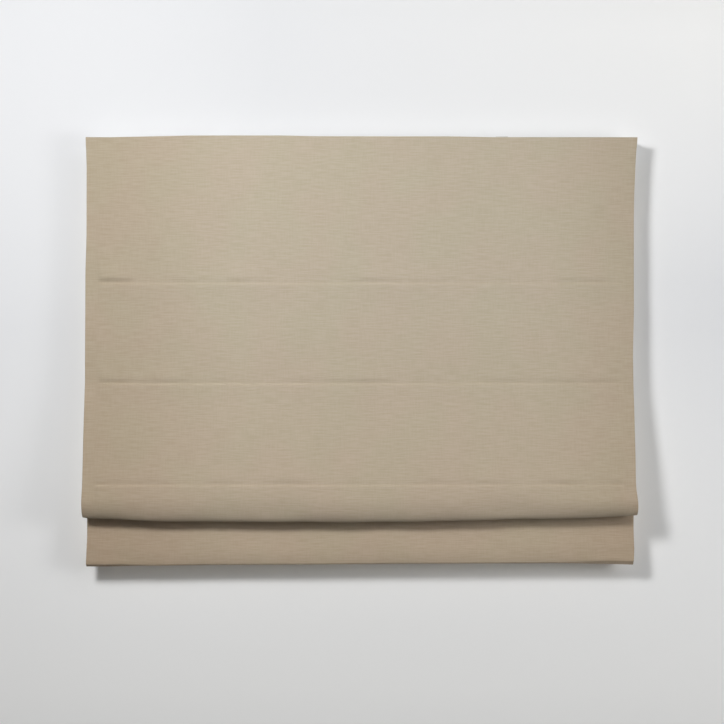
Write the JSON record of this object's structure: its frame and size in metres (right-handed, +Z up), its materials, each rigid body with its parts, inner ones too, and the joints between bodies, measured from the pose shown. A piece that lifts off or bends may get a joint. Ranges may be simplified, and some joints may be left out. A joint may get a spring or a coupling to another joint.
{
  "type": "roman blind",
  "caption": "Flat lined roman blind on a wall-mounted headrail, raised a little so that one soft fold hangs before its weighted bottom panel.",
  "frame": {"origin": "middle of the four wall screw holes, on the wall plane", "axes": "+X to the viewer's right along the headrail, +Y into the wall, +Z up"},
  "size_m": [1.202, 0.108, 0.9378],
  "materials": {
    "white_extrusion": "satin",
    "white_plastic": "satin",
    "spool_plastic": "satin",
    "spring_steel": "satin",
    "shaft_steel": "satin",
    "bracket_steel": "satin",
    "cord": "matte",
    "white_tape": "matte",
    "face_cloth": "matte",
    "lining": "matte",
    "rod": "satin",
    "ring_plastic": "gloss",
    "bar_aluminium": "satin",
    "cap_plastic": "satin"
  },
  "bodies": {
    "headrail_unit": {"headrail": "white_extrusion", "left_end_cap": "white_plastic", "control_housing": "white_plastic", "control_cover": "white_plastic", "cord_cradle_left": "white_plastic", "cord_cradle_centre": "white_plastic", "cord_cradle_right": "white_plastic", "wall_bracket_left": "bracket_steel", "wall_bracket_right": "bracket_steel", "hook_tape": "white_tape", "loop_tape": "white_tape", "upper_face_cloth": "face_cloth", "upper_lining": "lining", "lift_cord_left": "cord", "lift_cord_centre": "cord", "lift_cord_right": "cord"},
    "lift_drive": {"drive_shaft": "shaft_steel", "chain_sprocket": "spool_plastic", "brake_spring": "spring_steel", "shaft_end_bush": "spool_plastic", "cord_spool_left": "spool_plastic", "cord_spool_centre": "spool_plastic", "cord_spool_right": "spool_plastic", "wound_cord_left": "cord", "wound_cord_centre": "cord", "wound_cord_right": "cord"},
    "rod_row_1": {"rod_pocket_1": "white_tape", "stiffening_rod_1": "rod", "cord_rings_1": "ring_plastic"},
    "rod_row_2": {"rod_pocket_2": "white_tape", "stiffening_rod_2": "rod", "cord_rings_2": "ring_plastic"},
    "rod_row_3": {"rod_pocket_3": "white_tape", "stiffening_rod_3": "rod", "cord_rings_3": "ring_plastic", "fold_face_cloth": "face_cloth", "fold_lining": "lining", "cord_tail_left": "cord", "cord_tail_centre": "cord", "cord_tail_right": "cord"},
    "hem_row": {"rod_pocket_4": "white_tape", "stiffening_rod_4": "rod", "cord_anchors": "ring_plastic", "bottom_face_cloth": "face_cloth", "bottom_lining": "lining", "bottom_bar": "bar_aluminium", "bar_cap_left": "cap_plastic", "bar_cap_right": "cap_plastic"}
  },
  "joints": [
    {"name": "raise", "type": "slide", "parent": "headrail_unit", "child": "rod_row_3", "axis": [0, 0, 1], "range_m": [0, 0.6142], "deforming": ["upper_face_cloth", "upper_lining", "lift_cord_left", "lift_cord_centre", "lift_cord_right"]},
    {"name": "row_1_gather", "type": "slide", "parent": "headrail_unit", "child": "rod_row_1", "axis": [0, 0, 1], "range_m": [0, 0.2314]},
    {"name": "row_2_gather", "type": "slide", "parent": "headrail_unit", "child": "rod_row_2", "axis": [0, 0, 1], "range_m": [0, 0.4228]},
    {"name": "drive_turn", "type": "hinge", "parent": "headrail_unit", "child": "lift_drive", "pos_m": [0, -0.03455, -0.004], "axis": [-1, 0, 0], "range_deg": [0, 3279]},
    {"name": "lower", "type": "slide", "parent": "rod_row_3", "child": "hem_row", "axis": [0, 0, -1], "range_m": [0, 0.14], "deforming": ["fold_face_cloth", "fold_lining", "cord_tail_left", "cord_tail_centre", "cord_tail_right"]}
  ],
  "couplings": [
    {"joint": "row_1_gather", "follows": "raise", "ratio": 0.37675},
    {"joint": "row_2_gather", "follows": "raise", "ratio": 0.68837},
    {"joint": "drive_turn", "follows": "raise", "rad_per_m": 93.023}
  ]
}
